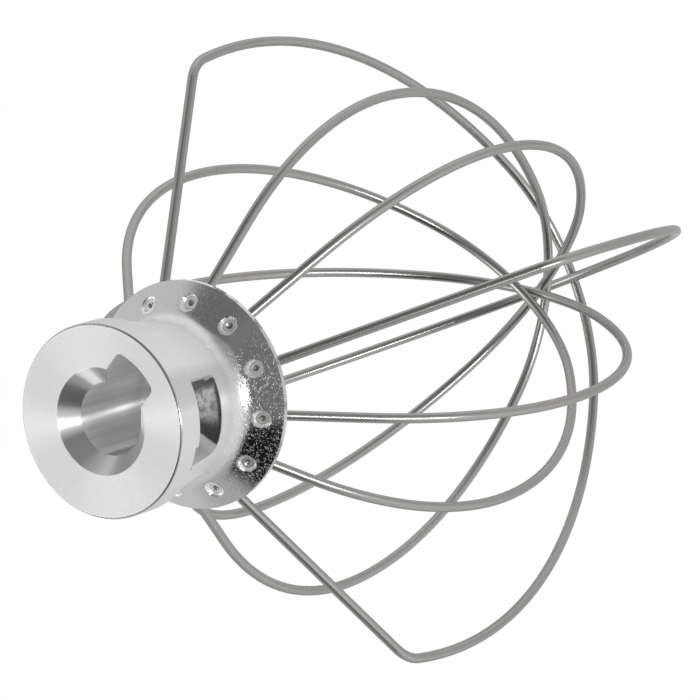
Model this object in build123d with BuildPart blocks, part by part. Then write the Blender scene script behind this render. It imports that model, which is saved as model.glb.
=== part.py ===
from build123d import *
import os
from math import cos, radians, sin, sqrt, tan

# A wire whisk for a stand mixer: a turned hub with a bayonet socket for the drive shaft, and six
# bent wire loops staked into the hub's skirt. Sizes are in millimetres, angles in degrees.
# The origin is the centre of the hub's front face, +Z points out of the socket and the cage hangs
# below it. Depths are counted down from the front face.

# Drive socket
shaft_d = 12.7
shaft_clearance = 0.15
socket_floor = 2.2
drill_point_angle = 118
countersink_d = 18.6
countersink_angle = 90

# Bayonet slot for the shaft's cross pin
slot_w = 9.2
slot_reach = 13
slot_overlap = 0.5
slot_corner_r = 1.2
slot_end_r = 2.6
slot_angle = -61.8
window_start = -85
window_end = -139.5
catch_start = -125
catch_rise = 1.1

# Hub body
collar_d = 34
collar_h = 5.65
collar_edge_r = 0.5
neck_step = 0.65
neck_taper = 10
neck_fillet = 4.5
skirt_d = 40.6
skirt_slope = 35
skirt_depth = 23.1
rim_h = 0.9

# Wire and its staked ends
wire_d = 1.8
wire_clearance = 0.05
wire_circle_d = 33.9
crater_d = 3.2
crater_floor_d = 2.3
crater_depth = 0.6
dimple_d = 1.3
dimple_depth = 0.5
exit_run = 0.1
exit_bend_r = 1.5

# Large loops: straight legs, a tight shoulder and a tall dome
large_leg_angle = 39
large_shoulder_r = 8.7
large_half_width = 59
large_dome_h = 78.6
large_crown_r = 40

# Small loops: short legs that turn upright over a long shoulder, and a lower dome
small_leg_angle = 45
small_leg_min = 4
small_shoulder_r = 60
small_half_width = 45.8
small_crown_r = 32.8

# One leg of the third loop leaves the hub more steeply and turns over a shorter shoulder
steep_leg_angle = 57
steep_shoulder_r = 45

# Tips, stacked along the axis where the loops cross
inner_tip_depth = 136.65
pair_gap = 0.4
small_tier_gap = 2.7
large_tier_gap = 6.1

# Two small loops are sprung wide or narrow, and some loops lean within their own planes
spread_2 = 1.3
spread_6 = -1.6
lean_2 = -0.6
lean_3 = 1.5
lean_4 = 0.9
lean_5 = 0.4
lean_6 = -3

# Worked-out sizes
bore_r = (shaft_d + shaft_clearance) / 2
countersink_r = countersink_d / 2
countersink_h = (countersink_r - bore_r) / tan(radians(countersink_angle / 2))
collar_r = collar_d / 2
neck_r = collar_r - neck_step
skirt_r = skirt_d / 2
wire_r = wire_d / 2
wire_hole_r = wire_r + wire_clearance
wire_circle_r = wire_circle_d / 2
slot_floor = collar_h + slot_w
taper_ratio = tan(radians(neck_taper))
slope_ratio = tan(radians(skirt_slope))
rim_depth = skirt_depth + (skirt_r - wire_circle_r) * slope_ratio
hub_h = rim_depth + rim_h
bore_tip_depth = hub_h - socket_floor
bore_depth = bore_tip_depth - bore_r / tan(radians(drill_point_angle / 2))
slot_inner_r = bore_r - slot_overlap

# The foot of the neck is where its taper meets the slope of the skirt
skirt_apex_depth = skirt_depth - wire_circle_r * slope_ratio
foot_r = (neck_r - taper_ratio * (skirt_apex_depth - collar_h)) / (1 + taper_ratio * slope_ratio)
foot_depth = skirt_apex_depth + foot_r * slope_ratio

# Wires leave the hub at equal steps, two legs to a loop
loop_count = 6
wire_step = 180 / loop_count
leg_angles = [-wire_step * leg for leg in range(2 * loop_count)]

# Tip depths follow the order of the stack, from the innermost loop out
pair_pitch = wire_d + pair_gap
tip_6 = inner_tip_depth
tip_5 = tip_6 + pair_pitch
tip_3 = tip_5 + wire_d + small_tier_gap
tip_2 = tip_3 + pair_pitch
tip_4 = tip_2 + wire_d + large_tier_gap
tip_1 = tip_4 + pair_pitch


def radial(angle):
    """Unit vector that points away from the axis at an angle round it."""
    return Vector(cos(radians(angle)), sin(radians(angle)), 0)


def axial_plane(angle):
    """Plane through the axis, with its x away from the axis at an angle and its y up."""
    return Plane((0, 0, 0), x_dir=radial(angle), z_dir=radial(angle - 90))


def crater_plane(angle):
    """Plane of a crater's floor, centred on the wire there and facing out of the skirt."""
    normal = radial(angle) * sin(radians(skirt_slope)) + Vector(0, 0, cos(radians(skirt_slope)))
    floor_depth = skirt_depth + crater_depth / cos(radians(skirt_slope))
    return Plane(
        origin=radial(angle) * wire_circle_r - Vector(0, 0, floor_depth),
        x_dir=radial(angle + 90),
        z_dir=normal,
    )


def draw_sector(outer_r, start, end):
    """Draw, in the line that calls it, a sector between two angles that starts just inside the bore."""
    inner = CenterArc((0, 0), slot_inner_r, start, end - start)
    outer = CenterArc((0, 0), outer_r, start, end - start)
    Line(inner @ 0, outer @ 0)
    Line(inner @ 1, outer @ 1)


def leg_line(leg_angle):
    """Corner where a wire turns outward below the hub, its leg's direction and half the bend's run."""
    bend_run = exit_bend_r * tan(radians((90 - leg_angle) / 2))
    corner = Vector(wire_circle_r, -(hub_h + exit_run + bend_run))
    along = Vector(cos(radians(leg_angle)), -sin(radians(leg_angle)))
    return corner, along, bend_run


def dome(half_width, widest_depth, tip_depth, crown_r, lean):
    """Centre and radius of the arc down a loop's side, and the point where it meets the crown's arc."""
    rise = tip_depth - widest_depth - crown_r
    side_r = (half_width**2 + rise**2 - crown_r**2) / (2 * (half_width - crown_r))
    side_centre = Vector(lean + half_width - side_r, -widest_depth)
    crown_centre = Vector(lean, crown_r - tip_depth)
    crown_start = side_centre + (crown_centre - side_centre).normalized() * side_r
    return side_centre, side_r, crown_start


def joints(leg_angle, leg_run, side_start, crown_start):
    """Joints of half a loop's centreline, from the wire's end in the hub to the start of the crown.

    The wire drops through the skirt, bends out into a straight leg, turns over a shoulder and runs
    down the side. Points are (distance from the axis, height).
    """
    corner, along, bend_run = leg_line(leg_angle)
    points = [
        Vector(wire_circle_r, -skirt_depth),
        corner + Vector(0, bend_run),
        corner + along * bend_run,
        corner + along * leg_run,
        side_start,
        crown_start,
    ]
    return [(point.X, point.Y) for point in points]


def large_half(tip_depth, lean):
    """Half of a large loop: its shoulder is a tight bend from the leg into the side arc."""
    corner, along, _ = leg_line(large_leg_angle)
    inward = Vector(along.Y, -along.X)
    widest_depth = tip_depth - large_dome_h
    side_centre, side_r, crown_start = dome(
        large_half_width, widest_depth, tip_depth, large_crown_r, lean
    )
    offset = corner + inward * large_shoulder_r - side_centre
    back = offset.dot(along)
    leg_run = sqrt(back**2 - offset.dot(offset) + (side_r - large_shoulder_r) ** 2) - back
    shoulder_centre = side_centre + offset + along * leg_run
    side_start = side_centre + (shoulder_centre - side_centre).normalized() * side_r
    return joints(large_leg_angle, leg_run, side_start, crown_start)


def small_half(tip_depth, lean, spread, leg_angle=small_leg_angle, shoulder_r=small_shoulder_r):
    """Half of a small loop: its shoulder turns from the leg to upright at the widest point."""
    corner, along, _ = leg_line(leg_angle)
    half_width = small_half_width + spread
    reach = (lean + half_width - wire_circle_r) / along.X
    shoulder_run = shoulder_r * tan(radians((90 - leg_angle) / 2))
    shoulder_run = min(shoulder_run, reach - small_leg_min)
    widest = corner + along * reach - Vector(0, shoulder_run)
    crown_start = dome(half_width, -widest.Y, tip_depth, small_crown_r, lean)[-1]
    return joints(leg_angle, reach - shoulder_run, widest, crown_start)


def draw_half(points):
    """Draw half a loop, without its crown, in the line that calls it."""
    wire_end, bend_start, leg_start, leg_end, side_start, crown_start = points
    drop = Line(wire_end, bend_start)
    TangentArc(bend_start, leg_start, tangent=drop % 1)
    leg = Line(leg_start, leg_end)
    shoulder = TangentArc(leg_end, side_start, tangent=leg % 1)
    TangentArc(side_start, crown_start, tangent=shoulder % 1)


os.makedirs("parts", exist_ok=True)

# Space for the cross pin: a window under the collar with a catch at its end, and the way in
with BuildPart() as pin_space:
    with BuildSketch(Plane.XY.offset(-slot_floor)):
        with BuildLine():
            draw_sector(collar_d, window_start, window_end)
        make_face()
    extrude(amount=slot_w)
    window_floor = pin_space.edges().filter_by(GeomType.LINE).group_by(Axis.Z)[0]
    end_corner, start_corner = window_floor.sort_by(Axis.X)
    fillet(start_corner, slot_corner_r)
    fillet(end_corner, slot_end_r)
    with BuildSketch(Plane.XY.offset(-collar_h)):
        with BuildLine():
            draw_sector(collar_d, catch_start, window_end)
        make_face()
    extrude(amount=catch_rise)
    with BuildSketch(Plane.XY.offset(-slot_floor)):
        with BuildLine():
            draw_sector(slot_reach, slot_angle, catch_start)
        make_face()
    extrude(amount=slot_w)
    with BuildSketch(Plane.XY.offset(-slot_floor)) as entry:
        with Locations(Rotation(0, 0, slot_angle)):
            Rectangle(collar_d, slot_w, align=(Align.MIN, Align.CENTER))
        Circle(slot_reach, mode=Mode.INTERSECT)
        entry_ends = entry.vertices().group_by(lambda vertex: Vector(vertex).length)[-1]
        fillet(entry_ends, slot_corner_r)
    extrude(amount=slot_floor)

# Hub: collar, tapered neck and sloping skirt in one turned piece
with BuildPart() as hub:
    with BuildSketch(axial_plane(wire_step / 2)) as section:
        with BuildLine():
            Polyline(
                (0, -bore_tip_depth),
                (bore_r, -bore_depth),
                (bore_r, -countersink_h),
                (countersink_r, 0),
                (collar_r, 0),
                (collar_r, -collar_h),
                (neck_r, -collar_h),
                (foot_r, -foot_depth),
                (skirt_r, -rim_depth),
                (skirt_r, -hub_h),
                (0, -hub_h),
                close=True,
            )
        make_face()
        for edge_depth in (0, collar_h):
            fillet(section.vertices().sort_by_distance((collar_r, -edge_depth))[0], collar_edge_r)
        fillet(section.vertices().sort_by_distance((foot_r, -foot_depth))[0], neck_fillet)
    revolve(axis=Axis.Z)
    add(pin_space.part, mode=Mode.SUBTRACT)
    with BuildSketch(Plane.XY.offset(-hub_h)):
        with PolarLocations(wire_circle_r, len(leg_angles)):
            Circle(wire_hole_r)
    extrude(amount=hub_h - skirt_depth, mode=Mode.SUBTRACT)
    with Locations(*[crater_plane(angle) for angle in leg_angles]):
        Cone(
            crater_floor_d / 2,
            crater_d / 2,
            crater_depth,
            align=(Align.CENTER, Align.CENTER, Align.MIN),
            mode=Mode.SUBTRACT,
        )
hub.part.label = "hub"
export_step(hub.part, "parts/hub.step")

# Halves of each loop, its tip depth and its lean, in the order of the holes round the skirt
steep_half = small_half(tip_3, -lean_3, 0, steep_leg_angle, steep_shoulder_r)
loops = [
    (large_half(tip_1, 0), large_half(tip_1, 0), tip_1, 0),
    (small_half(tip_2, lean_2, spread_2), small_half(tip_2, -lean_2, spread_2), tip_2, lean_2),
    (small_half(tip_3, lean_3, 0), steep_half, tip_3, lean_3),
    (large_half(tip_4, lean_4), large_half(tip_4, -lean_4), tip_4, lean_4),
    (small_half(tip_5, lean_5, 0), small_half(tip_5, -lean_5, 0), tip_5, lean_5),
    (small_half(tip_6, lean_6, spread_6), small_half(tip_6, -lean_6, spread_6), tip_6, lean_6),
]

# Wires: each is one loop, staked at both ends
for number, (near_half, mirrored_half, tip_depth, lean) in enumerate(loops):
    angle = leg_angles[number]
    far_half = [(-reach, height) for reach, height in mirrored_half]
    end_planes = [crater_plane(angle), crater_plane(angle + 180)]
    with BuildPart() as wire:
        with BuildLine(axial_plane(angle)) as path:
            draw_half(near_half)
            ThreePointArc(near_half[-1], (lean, -tip_depth), far_half[-1])
            draw_half(far_half)
        with BuildSketch(Plane(path.wire() @ 0, z_dir=path.wire() % 0)):
            Circle(wire_r)
        sweep(path=path.wire())
        for end_plane in end_planes:
            split(bisect_by=end_plane, keep=Keep.BOTTOM)
        with Locations(*end_planes):
            Cone(
                0,
                dimple_d / 2,
                dimple_depth,
                align=(Align.CENTER, Align.CENTER, Align.MAX),
                mode=Mode.SUBTRACT,
            )
    wire.part.label = f"wire_{number + 1}"
    export_step(wire.part, f"parts/wire_{number + 1}.step")
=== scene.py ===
import math
from types import SimpleNamespace

import bpy
from mathutils import Matrix, Vector

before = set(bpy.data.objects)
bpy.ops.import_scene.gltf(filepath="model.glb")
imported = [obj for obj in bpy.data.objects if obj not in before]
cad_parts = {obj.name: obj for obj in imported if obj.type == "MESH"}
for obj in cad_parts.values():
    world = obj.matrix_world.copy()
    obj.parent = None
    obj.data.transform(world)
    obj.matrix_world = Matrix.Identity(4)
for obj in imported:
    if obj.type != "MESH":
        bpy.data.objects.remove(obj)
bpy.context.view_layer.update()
scene = bpy.context.scene

# Sizes of the part in millimetres, as the materials need them
BORE_R = 6.425
COUNTERSINK_R = 9.3
COUNTERSINK_H = 2.875
COLLAR_H = 5.65
COLLAR_EDGE = 0.5
NECK_R = 16.35
NECK_TAPER = math.tan(math.radians(10))
SLOT_FLOOR = 14.85
SKIRT_SLOPE = math.radians(35)
SKIRT_DEPTH = 23.1
MIRROR_START_R = 13.8
MIRROR_FULL_R = 14.9
WIRE_COUNT = 6
WIRE_STEP = 30
WIRE_CIRCLE_R = 16.95
CRATER_R = 1.6
DIMPLE_R = 0.65

# Where one finish gives way to the next: the start and end of each change in millimetres
FACE_DEPTH = (0.02, 0.06)
FACE_RADIUS = (COUNTERSINK_R - 0.05, COUNTERSINK_R + 0.05)
CONE_MISS = (0.04, 0.1)
CONE_END = (COUNTERSINK_H, COUNTERSINK_H + 0.1)
BORE_WALL = (BORE_R + 0.05, BORE_R + 0.15)
NECK_SKIN = (0.1, 0.2)
POCKET_TOP = (0.03, 0.1)
POCKET_END = (SLOT_FLOOR + 0.05, SLOT_FLOOR + 0.2)
SLOT_FLOOR_DEPTH = (SLOT_FLOOR - 0.4, SLOT_FLOOR - 0.2)
# Painted shade covers the slot floor beyond this radius
POCKET_SHADE_RADIUS = (13.5, 14.2)
COLLAR_WALL = (NECK_R + 0.05, NECK_R + 0.15)
COLLAR_END = (COLLAR_H, COLLAR_H + 0.2)
EDGE_END = (COLLAR_EDGE - 0.15, COLLAR_EDGE - 0.05)
SKIRT_RADIUS = (MIRROR_START_R, MIRROR_FULL_R)
SKIRT_TOP = (17.5, 18.5)
BRUSHED_RADIUS = (MIRROR_FULL_R, MIRROR_FULL_R + 1.2)
CRATER_RIM = (CRATER_R - 0.1, CRATER_R + 0.05)
WIRE_END = (SKIRT_DEPTH + 1.4, SKIRT_DEPTH + 1.6)
DIMPLE_RIM = (DIMPLE_R - 0.2, DIMPLE_R)

# The same round the axis, in degrees
# Painted shade on the slot floor near its two end walls: before the first pair of angles and after the
# second
POCKET_SHADE_BEFORE = (-126, -114)
POCKET_SHADE_AFTER = (-96, -89)
BORE_SHADE = (142, 150)
BORE_SHEEN = (35, 60)

# Grey levels of the hub, where a pair is the least and the most
LEVEL = {"neck": 0.86, "collar": 0.83, "face": 0.97, "skirt": 0.66, "cone": 0.5, "edge": 0.5, "crater": 0.97}
POCKET_LEVELS = (0.75, 1.0)
SLOT_FLOOR_LEVELS = (0.28, 0.58)
# Painted shade on the slot floor: its grey level and how much of it is laid on
POCKET_SHADE_LEVEL = 0.09
POCKET_SHADE_SHARE = 0.9
BORE_LEVELS = (0.86, 1.0)
BORE_SHADE_SHARE = 0.5
GRAIN_SHARES = (0.95, 1.03)

# Painted shade on the collar and neck in bands: angle, half widths of the full and the fading part, and
# light lost
PAINTED_SHADE_BANDS = (
    (-90, 3, 16, 0.26),
    (-145, 20, 65, 0.14),
)

# Painted reflections in the countersink: light and dark bands, placed in the same way, and their grey levels
CONE_PAINTED_REFLECTIONS = (
    (0, 0, 13, 1.0),
    (-25, 0, 12, 0.32),
    (40, 5, 20, 0.32),
    (75, 8, 22, 1.0),
    (150, 8, 26, 0.64),
    (-155, 15, 45, 0.31),
    (-100, 0, 25, 0.7),
)

# Roughness of the hub, in the order in which one finish covers another
NECK_ROUGH = 0.45
ROUGH = {"face": 0.72, "cone": 0.44, "bore": 0.42, "pocket": 0.6, "collar": 0.6, "edge": 0.22}
SKIRT_ROUGH = (0.08, 0.5)
CRATER_ROUGH = 0.26

# How much of the hub's light is mirrored, against scattered
NECK_METALLIC = 0.4
FACE_METALLIC = 0.64
BORE_METALLIC = (0.4, 0.66)
STAKED_METALLIC = 0.75

# How far fine lines stretch a reflection
ANISOTROPY = {"face": 0.9, "cone": 0.96, "bore": 1.0}

# Strength of the skirt's wear, least to most round the axis, and of the scratches in it
WEAR_STRENGTHS = (0.35, 1.0)
SCRATCH_STRENGTH = 0.5

# Relief of the hub's marks: grain is finer on the skirt and bore, and coarser on the face and in the craters
RING_RELIEF = 0.6
GRAIN_RELIEF = 0.4
SMOOTH_GRAIN_RELIEF = 0.04
FACE_GRAIN_RELIEF = 3.0
CRATER_GRAIN_RELIEF = 3.0
SLOT_FLOOR_RELIEF = 2.5
WEAR_RELIEF = 0.8

# Finish of the wires
WIRE_TINT = (1.0, 0.985, 0.955)
WIRE_LEVELS = (0.36, 0.46)
WIRE_GRAIN_SHARES = (0.92, 1.06)
WIRE_END_LEVEL = 0.95
# Painted shade in the dimple of the wire's struck end
DIMPLE_SHADE_LEVEL = 0.3
WIRE_ROUGH = (0.22, 0.3)
WIRE_CLOUD_ROUGH = (-0.03, 0.05)
WIRE_END_ROUGH = 0.3
WIRE_RIM = 0.6
WIRE_STREAK_RELIEF = 0.7
WIRE_GRAIN_RELIEF = 0.15

QUARTER_TURN = 0.25
MILLIMETRES = (1000.0, 1000.0, 1000.0)


class Graph:
    """Short names for the nodes of one shader tree."""

    def __init__(self, tree):
        self.tree = tree
        tree.nodes.clear()

    def node(self, kind, **settings):
        made = self.tree.nodes.new(kind)
        for name, value in settings.items():
            setattr(made, name, value)
        return made

    def put(self, value, socket):
        """Link an output to a socket, or set the socket's own value."""
        if isinstance(value, bpy.types.NodeSocket):
            self.tree.links.new(value, socket)
        else:
            socket.default_value = value

    def math(self, operation, a, b=0.0):
        made = self.node("ShaderNodeMath", operation=operation)
        self.put(a, made.inputs[0])
        self.put(b, made.inputs[1])
        return made.outputs[0]

    def add(self, a, b):
        return self.math("ADD", a, b)

    def sub(self, a, b):
        return self.math("SUBTRACT", a, b)

    def mul(self, a, b):
        return self.math("MULTIPLY", a, b)

    def both(self, *masks):
        whole = masks[0]
        for mask in masks[1:]:
            whole = self.mul(whole, mask)
        return whole

    def most(self, *values):
        whole = values[0]
        for value in values[1:]:
            whole = self.math("MAXIMUM", whole, value)
        return whole

    def without(self, mask):
        """1 where a mask is 0."""
        return self.sub(1.0, mask)

    def rise(self, value, low, high):
        """0 below low and 1 above high."""
        made = self.node("ShaderNodeMapRange", clamp=True, interpolation_type="SMOOTHSTEP")
        self.put(value, made.inputs["Value"])
        self.put(low, made.inputs["From Min"])
        self.put(high, made.inputs["From Max"])
        return made.outputs["Result"]

    def fall(self, value, low, high):
        """1 below low and 0 above high."""
        return self.without(self.rise(value, low, high))

    def past(self, angle, start, end):
        """0 before an angle in degrees and 1 after another."""
        return self.rise(angle, math.radians(start), math.radians(end))

    def band(self, angle, centre, inner, outer):
        """1 within some degrees of an angle, and 0 beyond more."""
        near = self.math("COSINE", self.sub(angle, math.radians(centre)))
        return self.rise(near, math.cos(math.radians(outer)), math.cos(math.radians(inner)))

    def mix(self, amount, a, b):
        """A number that goes from a to b."""
        made = self.node("ShaderNodeMix", data_type="FLOAT")
        self.put(amount, made.inputs[0])
        self.put(a, made.inputs[2])
        self.put(b, made.inputs[3])
        return made.outputs[0]

    def grey(self, value, tint=(1.0, 1.0, 1.0)):
        """A colour from a grey level."""
        made = self.node("ShaderNodeCombineColor")
        for socket, share in zip(made.inputs, tint):
            self.put(value if share == 1.0 else self.mul(value, share), socket)
        return made.outputs[0]

    def join(self, x, y, z):
        made = self.node("ShaderNodeCombineXYZ")
        for socket, value in zip(made.inputs, (x, y, z)):
            self.put(value, socket)
        return made.outputs[0]

    def noise(self, place, scale, detail, rough):
        made = self.node("ShaderNodeTexNoise")
        self.put(place, made.inputs["Vector"])
        self.put(scale, made.inputs["Scale"])
        self.put(detail, made.inputs["Detail"])
        self.put(rough, made.inputs["Roughness"])
        return made.outputs["Fac"]

    def stretched(self, parts, scales, detail, rough):
        """Noise with a scale of its own along each part of a place."""
        place = self.join(*(self.mul(part, scale) for part, scale in zip(parts, scales)))
        return self.noise(place, 1.0, detail, rough)

    def cells(self, place, scale):
        """A random number for each cell of a cracked pattern."""
        made = self.node("ShaderNodeTexVoronoi")
        self.put(place, made.inputs["Vector"])
        self.put(scale, made.inputs["Scale"])
        return made.outputs["Color"]

    def bump(self, height, strength, distance):
        made = self.node("ShaderNodeBump")
        self.put(strength, made.inputs["Strength"])
        self.put(distance, made.inputs["Distance"])
        self.put(height, made.inputs["Height"])
        return made.outputs["Normal"]

    def place(self, turn=0.0):
        """Object coordinates in millimetres, turned about Z, and their three parts."""
        coords = self.node("ShaderNodeTexCoord")
        mapping = self.node("ShaderNodeMapping", vector_type="POINT")
        self.put(coords.outputs["Object"], mapping.inputs["Vector"])
        mapping.inputs["Rotation"].default_value = (0.0, 0.0, turn)
        mapping.inputs["Scale"].default_value = MILLIMETRES
        parts = self.node("ShaderNodeSeparateXYZ")
        self.put(mapping.outputs["Vector"], parts.inputs["Vector"])
        return mapping.outputs["Vector"], *parts.outputs

    def metal(self, colour, rough, normal, metallic, anisotropy=0.0, rim=1.0):
        shader = self.node("ShaderNodeBsdfPrincipled")
        self.put(metallic, shader.inputs["Metallic"])
        self.put(colour, shader.inputs["Base Color"])
        self.put(rough, shader.inputs["Roughness"])
        self.put(normal, shader.inputs["Normal"])
        self.put(anisotropy, shader.inputs["Anisotropic"])
        shader.inputs["Anisotropic Rotation"].default_value = QUARTER_TURN
        shader.inputs["Specular Tint"].default_value = (rim, rim, rim, 1.0)
        tangent = self.node("ShaderNodeTangent", direction_type="RADIAL", axis="Z")
        self.put(tangent.outputs["Tangent"], shader.inputs["Tangent"])
        output = self.node("ShaderNodeOutputMaterial")
        self.put(shader.outputs["BSDF"], output.inputs["Surface"])


def new_graph(name):
    material = bpy.data.materials.new(name)
    material.use_nodes = True
    return material, Graph(material.node_tree)


def radius(g, x, y):
    return g.math("SQRT", g.add(g.mul(x, x), g.mul(y, y)))


def hub_place(g):
    """A point of the hub and its parts, also as radius, depth and angle."""
    point, x, y, z = g.place()
    polar = {"r": radius(g, x, y), "depth": g.mul(z, -1.0), "angle": g.math("ARCTAN2", y, x)}
    return SimpleNamespace(point=point, x=x, y=y, z=z, **polar)


def hub_finishes(g, at):
    """A mask for each finish of the hub, told apart by place."""
    cone_miss = g.math("ABSOLUTE", g.sub(g.add(at.r, at.depth), COUNTERSINK_R))
    cone = g.both(g.fall(cone_miss, *CONE_MISS), g.fall(at.depth, *CONE_END))
    bore = g.both(g.fall(at.r, *BORE_WALL), g.rise(at.depth, *CONE_END))
    face = g.both(g.fall(at.depth, *FACE_DEPTH), g.rise(at.r, *FACE_RADIUS))
    side = g.both(g.rise(at.r, *COLLAR_WALL), g.fall(at.depth, *COLLAR_END))
    edge = g.both(side, g.rise(at.depth, *FACE_DEPTH), g.fall(at.depth, *EDGE_END))
    skirt = g.both(g.rise(at.r, *SKIRT_RADIUS), g.rise(at.depth, *SKIRT_TOP))

    # Pockets of the pin: what lies between the bore and the outside of the neck
    taper = g.mul(g.most(g.sub(at.depth, COLLAR_H), 0.0), NECK_TAPER)
    wall = g.sub(g.sub(NECK_R, taper), at.r)
    pocket = g.both(
        g.rise(at.r, *BORE_WALL),
        g.rise(wall, *NECK_SKIN),
        g.rise(at.depth, *POCKET_TOP),
        g.fall(at.depth, *POCKET_END),
        g.without(cone),
    )
    slot_floor = g.both(pocket, g.rise(at.depth, *SLOT_FLOOR_DEPTH))
    # Painted shade on the slot floor, near its end walls and towards its outer rim
    ends = g.most(g.without(g.past(at.angle, *POCKET_SHADE_BEFORE)), g.past(at.angle, *POCKET_SHADE_AFTER))
    pocket_shade = g.both(slot_floor, g.most(ends, g.rise(at.r, *POCKET_SHADE_RADIUS)))

    # Craters: the angle is folded so that one crater stands for all
    fold = g.math("PINGPONG", g.add(at.angle, math.tau), math.radians(WIRE_STEP / 2))
    along = g.mul(g.sub(at.r, WIRE_CIRCLE_R), 1.0 / math.cos(SKIRT_SLOPE))
    across = g.mul(at.r, g.math("SINE", fold))
    crater = g.both(g.fall(radius(g, along, across), *CRATER_RIM), skirt)

    satin = g.without(g.most(cone, pocket, skirt, edge, bore))
    return {
        "face": face,
        "cone": cone,
        "bore": bore,
        "collar": g.sub(side, edge),
        "edge": edge,
        "pocket": pocket,
        "slot_floor": slot_floor,
        "pocket_shade": pocket_shade,
        "skirt": skirt,
        "crater": crater,
        "satin": satin,
    }


def dashes(g, x, y, layer):
    """Short scratches that lie at a new angle in each small cell."""
    turn = g.mul(g.cells(g.join(x, y, layer), scale=1.3), math.radians(720))
    cosine = g.math("COSINE", turn)
    sine = g.math("SINE", turn)
    along = g.add(g.mul(x, cosine), g.mul(y, sine))
    across = g.sub(g.mul(y, cosine), g.mul(x, sine))
    lines = g.stretched((along, across, layer), scales=(1.5, 5.5, 1.0), detail=1.0, rough=0.5)
    return g.rise(lines, low=0.62, high=0.72)


def hub_wear(g, at):
    """Wear of the skirt: dashes, faint scratches and a brushed foot, strongest on one side."""
    fleck = g.most(dashes(g, at.x, at.y, layer=1.5), dashes(g, at.x, at.y, layer=7.5))
    scratch = g.noise(at.point, scale=3.4, detail=3.0, rough=0.8)
    scratch = g.mul(g.rise(scratch, low=0.5, high=0.75), SCRATCH_STRENGTH)
    brushed = g.stretched((at.r, at.angle, at.z), scales=(5.0, 14.0, 2.0), detail=2.0, rough=0.7)
    brushed = g.both(g.rise(brushed, low=0.5, high=0.64), g.fall(at.r, *BRUSHED_RADIUS))
    strength = g.mix(g.band(at.angle, centre=-120, inner=35, outer=60), *WEAR_STRENGTHS)
    return g.mul(g.most(fleck, scratch, brushed), strength)


def hub_level(g, at, on, marks):
    """Grey level of the hub."""
    level = g.mix(on["collar"], LEVEL["neck"], LEVEL["collar"])
    level = g.mix(on["face"], level, LEVEL["face"])
    level = g.mix(on["skirt"], level, LEVEL["skirt"])
    level = g.mix(on["pocket"], level, g.mix(marks.drawn, *POCKET_LEVELS))
    mottle = g.rise(marks.blotch, low=0.36, high=0.62)
    level = g.mix(on["slot_floor"], level, g.mix(mottle, *SLOT_FLOOR_LEVELS))
    # Painted shade on the slot floor
    level = g.mix(g.mul(on["pocket_shade"], POCKET_SHADE_SHARE), level, POCKET_SHADE_LEVEL)
    level = g.mix(on["cone"], level, LEVEL["cone"])
    # Painted reflections: light and dark bands round the countersink
    for centre, inner, outer, tone in CONE_PAINTED_REFLECTIONS:
        level = g.mix(g.both(on["cone"], g.band(at.angle, centre, inner, outer)), level, tone)
    level = g.mix(on["edge"], level, LEVEL["edge"])
    lines = g.rise(marks.drawn, low=0.35, high=0.62)
    level = g.mix(on["bore"], level, g.mix(lines, *BORE_LEVELS))
    shade = g.both(on["bore"], g.past(at.angle, *BORE_SHADE))
    level = g.mul(level, g.mix(shade, 1.0, BORE_SHADE_SHARE))
    level = g.mix(on["crater"], level, LEVEL["crater"])

    # Painted shade on the collar and neck, in bands round the axis
    painted_shade = g.most(*(g.mul(g.band(at.angle, *arc), share) for *arc, share in PAINTED_SHADE_BANDS))
    level = g.mul(level, g.without(g.both(on["satin"], g.without(on["face"]), painted_shade)))
    return g.mul(level, g.mix(g.rise(marks.grain, low=0.3, high=0.75), *GRAIN_SHARES))


def hub_rough(g, on, worn):
    """Roughness of the hub."""
    rough = NECK_ROUGH
    for finish, value in ROUGH.items():
        rough = g.mix(on[finish], rough, value)
    rough = g.mix(on["skirt"], rough, g.mix(worn, *SKIRT_ROUGH))
    return g.mix(on["crater"], rough, CRATER_ROUGH)


def hub_metallic(g, at, on):
    """Share of the hub's light that is mirrored."""
    metallic = g.mix(on["satin"], 1.0, g.mix(on["face"], NECK_METALLIC, FACE_METALLIC))
    sheen = g.mix(g.past(at.angle, *BORE_SHEEN), *BORE_METALLIC)
    metallic = g.mix(on["bore"], metallic, sheen)
    return g.mix(on["crater"], metallic, STAKED_METALLIC)


def hub_height(g, on, marks):
    """Relief of the hub: turned rings, grain, the mottled floor and the wear of the skirt."""
    rings = g.mul(g.most(on["face"], on["cone"], on["collar"]), marks.turned)
    coarse = g.mix(g.most(on["skirt"], on["bore"]), GRAIN_RELIEF, SMOOTH_GRAIN_RELIEF)
    coarse = g.mix(on["face"], coarse, FACE_GRAIN_RELIEF)
    height = g.add(g.mul(rings, RING_RELIEF), g.mul(marks.grain, coarse))
    height = g.add(height, g.mul(g.both(on["slot_floor"], marks.blotch), SLOT_FLOOR_RELIEF))
    height = g.sub(height, g.mul(g.both(on["skirt"], marks.worn), WEAR_RELIEF))
    return g.add(height, g.mul(g.both(on["crater"], marks.grain), CRATER_GRAIN_RELIEF))


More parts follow.
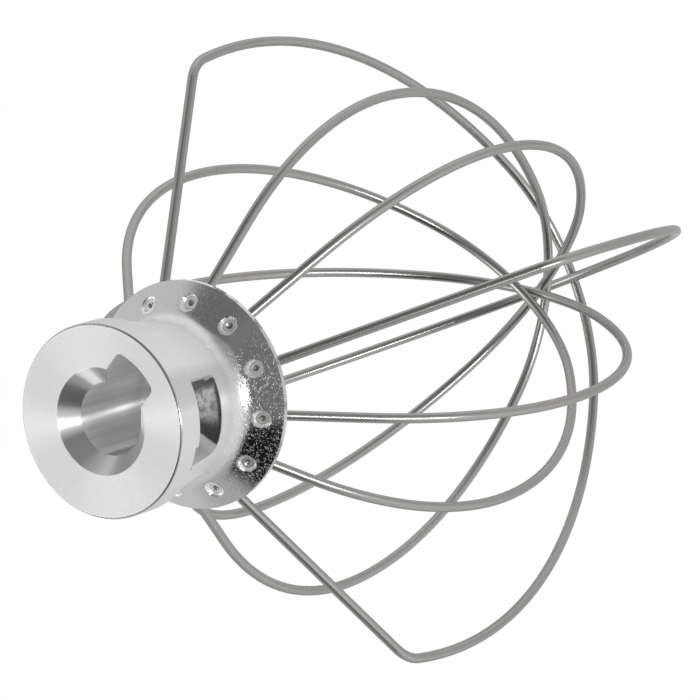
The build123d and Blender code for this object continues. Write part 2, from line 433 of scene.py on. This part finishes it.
def hub_material():
    """Turned metal: satin face and neck, drawn bore, mirrored and worn skirt, rough pockets."""
    material, g = new_graph("turned_hub")
    at = hub_place(g)
    on = hub_finishes(g, at)
    marks = SimpleNamespace(
        turned=g.stretched((at.r, at.z, at.angle), scales=(6.0, 6.0, 3.0), detail=3.0, rough=0.6),
        drawn=g.stretched((at.angle, at.z, 3.0), scales=(4.5, 0.02, 1.0), detail=1.5, rough=0.5),
        grain=g.noise(at.point, scale=3.6, detail=2.0, rough=0.6),
        blotch=g.noise(at.point, scale=0.9, detail=4.0, rough=0.65),
        worn=hub_wear(g, at),
    )
    normal = g.bump(hub_height(g, on, marks), strength=0.35, distance=0.00006)
    anisotropy = g.most(*(g.mul(on[finish], share) for finish, share in ANISOTROPY.items()))
    colour = g.grey(hub_level(g, at, on, marks))
    g.metal(colour, hub_rough(g, on, marks.worn), normal, hub_metallic(g, at, on), anisotropy)
    return material


def wire_material(number):
    """Drawn steel wire: streaks along its length, a soft polish, and a struck end in the hub."""
    material, g = new_graph(f"drawn_wire_{number}")
    point, x, y, z = g.place(math.radians(WIRE_STEP * (number - 1)))
    depth = g.mul(z, -1.0)
    end = g.fall(depth, *WIRE_END)
    offset = g.sub(g.math("ABSOLUTE", x), WIRE_CIRCLE_R)
    dimple = g.both(end, g.fall(radius(g, offset, y), *DIMPLE_RIM))
    streak = g.stretched((x, y, z), scales=(0.02, 9.0, 0.02), detail=3.0, rough=0.65)
    grain = g.noise(point, scale=5.0, detail=3.0, rough=0.65)
    cloud = g.noise(point, scale=0.12, detail=2.0, rough=0.5)
    lines = g.rise(streak, low=0.3, high=0.7)

    level = g.mul(g.mix(lines, *WIRE_LEVELS), g.mix(grain, *WIRE_GRAIN_SHARES))
    level = g.mix(end, level, WIRE_END_LEVEL)
    # Painted shade in the dimple
    level = g.mix(dimple, level, DIMPLE_SHADE_LEVEL)
    rough = g.add(g.mix(lines, *WIRE_ROUGH), g.mix(cloud, *WIRE_CLOUD_ROUGH))
    rough = g.mix(end, rough, WIRE_END_ROUGH)
    height = g.add(g.mul(streak, WIRE_STREAK_RELIEF), g.mul(grain, WIRE_GRAIN_RELIEF))
    normal = g.bump(height, strength=0.12, distance=0.00004)
    metallic = g.mix(end, 1.0, STAKED_METALLIC)
    g.metal(g.grey(level, WIRE_TINT), rough, normal, metallic, rim=WIRE_RIM)
    return material


def set_material(piece, material):
    if not piece.material_slots:
        piece.data.materials.append(material)
    for slot in piece.material_slots:
        slot.material = material


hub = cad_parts["hub"]
set_material(hub, hub_material())
for number in range(1, WIRE_COUNT + 1):
    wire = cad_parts[f"wire_{number}"]
    set_material(wire, wire_material(number))


# Camera, in metres and millimetres of lens
def look(location, forward, up):
    """Matrix of a camera or lamp that looks along forward."""
    back = -Vector(forward).normalized()
    right = Vector(up).cross(back).normalized()
    turn = Matrix((right, back.cross(right), back)).transposed()
    return Matrix.Translation(location) @ turn.to_4x4()


VIEW_FROM = Vector((-0.026976, -0.456014, 0.560291))
VIEW_ALONG = Vector((0.033498, 0.582557, -0.812099))
VIEW_UP = Vector((0.940977, -0.292212, -0.170804))
camera = bpy.data.objects.new("camera", bpy.data.cameras.new("camera"))
camera.data.sensor_width = 36.0
camera.data.lens = 218.76
camera.data.clip_start = 0.01
camera.data.clip_end = 20.0
camera.matrix_world = look(VIEW_FROM, VIEW_ALONG, VIEW_UP)
scene.collection.objects.link(camera)
scene.camera = camera

# Studio: a light room with lighter and darker parts, each given by its direction from the part,
# the angles in degrees where it starts and ends to fade, and its level. The camera sees white.
ROOM_LEVEL = 0.75
BEHIND_CAMERA = -VIEW_ALONG
DARK_CARD = (-0.767, -0.043, 0.64)
ROOM_PARTS = (
    ((0.85, 0.0, -0.5), 20, 50, 1.0),
    ((0.845, 0.365, 0.389), 12, 40, 0.74),
    ((0.78, -0.3, 0.5), 18, 38, 0.2),
    (BEHIND_CAMERA, 20, 52, 0.22),
    ((-0.86, 0.42, 0.3), 16, 30, 0.55),
    (DARK_CARD, 18, 32, 0.01),
    ((-0.76, -0.51, -0.4), 20, 45, 0.95),
    ((0.54, -0.84, 0.04), 12, 30, 0.42),
)
NEARLY_ONE = 0.99999


def patch(g, direction, toward, inner, outer):
    """1 within an angle of a direction, and 0 beyond a wider one."""
    dot = g.node("ShaderNodeVectorMath", operation="DOT_PRODUCT")
    g.put(direction, dot.inputs[0])
    dot.inputs[1].default_value = Vector(toward).normalized()
    turn = g.math("ARCCOSINE", g.math("MINIMUM", dot.outputs["Value"], NEARLY_ONE))
    return g.fall(turn, math.radians(inner), math.radians(outer))


def studio():
    """World with the parts of the room, white to the camera."""
    world = bpy.data.worlds.new("studio")
    world.use_nodes = True
    g = Graph(world.node_tree)
    direction = g.node("ShaderNodeTexCoord").outputs["Generated"]
    room = ROOM_LEVEL
    for toward, inner, outer, level in ROOM_PARTS:
        room = g.mix(patch(g, direction, toward, inner, outer), room, level)
    path = g.node("ShaderNodeLightPath")
    room = g.mix(path.outputs["Is Camera Ray"], room, 1.0)
    background = g.node("ShaderNodeBackground")
    g.put(g.grey(room), background.inputs["Color"])
    output = g.node("ShaderNodeOutputWorld")
    g.put(background.outputs["Background"], output.inputs["Surface"])
    return world


def softbox(name, azimuth, elevation, distance, width, height, power):
    """A rectangular lamp that faces the hub, placed by angles in degrees and sizes in metres."""
    turn = math.radians(azimuth)
    rise = math.radians(elevation)
    toward = Vector((math.cos(rise) * math.cos(turn), math.cos(rise) * math.sin(turn), math.sin(rise)))
    data = bpy.data.lights.new(name, "AREA")
    data.shape = "RECTANGLE"
    data.size = width
    data.size_y = height
    data.energy = power
    made = bpy.data.objects.new(name, data)
    made.matrix_world = look(toward * distance, -toward, (0.0, 0.0, 1.0))
    scene.collection.objects.link(made)


scene.world = studio()
softbox("key", azimuth=-111, elevation=17, distance=0.9, width=0.11, height=0.56, power=3.1)
softbox("top", azimuth=87, elevation=53, distance=1.0, width=0.6, height=0.6, power=2.4)

# Floor far below the cage, white to the camera and with the shadow kept
PAPER_SIZE = 0.8
PAPER_PLACE = (0.02, 0.3, -0.55)
PAPER_GREY = 0.9
PAPER_GLOW = 1.01
GLOW_SHARE = 0.96


def paper_material():
    material, g = new_graph("paper")
    path = g.node("ShaderNodeLightPath")
    rays = ("Is Camera Ray", "Is Glossy Ray", "Is Transmission Ray")
    seen = g.most(*(path.outputs[ray] for ray in rays))
    diffuse = g.node("ShaderNodeBsdfDiffuse")
    diffuse.inputs["Color"].default_value = (PAPER_GREY, PAPER_GREY, PAPER_GREY, 1.0)
    glow = g.node("ShaderNodeEmission")
    glow.inputs["Strength"].default_value = PAPER_GLOW
    blend = g.node("ShaderNodeMixShader")
    g.put(g.mul(seen, GLOW_SHARE), blend.inputs["Fac"])
    g.put(diffuse.outputs["BSDF"], blend.inputs[1])
    g.put(glow.outputs["Emission"], blend.inputs[2])
    output = g.node("ShaderNodeOutputMaterial")
    g.put(blend.outputs["Shader"], output.inputs["Surface"])
    return material


bpy.ops.mesh.primitive_plane_add(size=PAPER_SIZE, location=PAPER_PLACE)
floor = bpy.context.object
floor.name = "floor"
floor.data.materials.append(paper_material())

scene.view_settings.view_transform = "Standard"
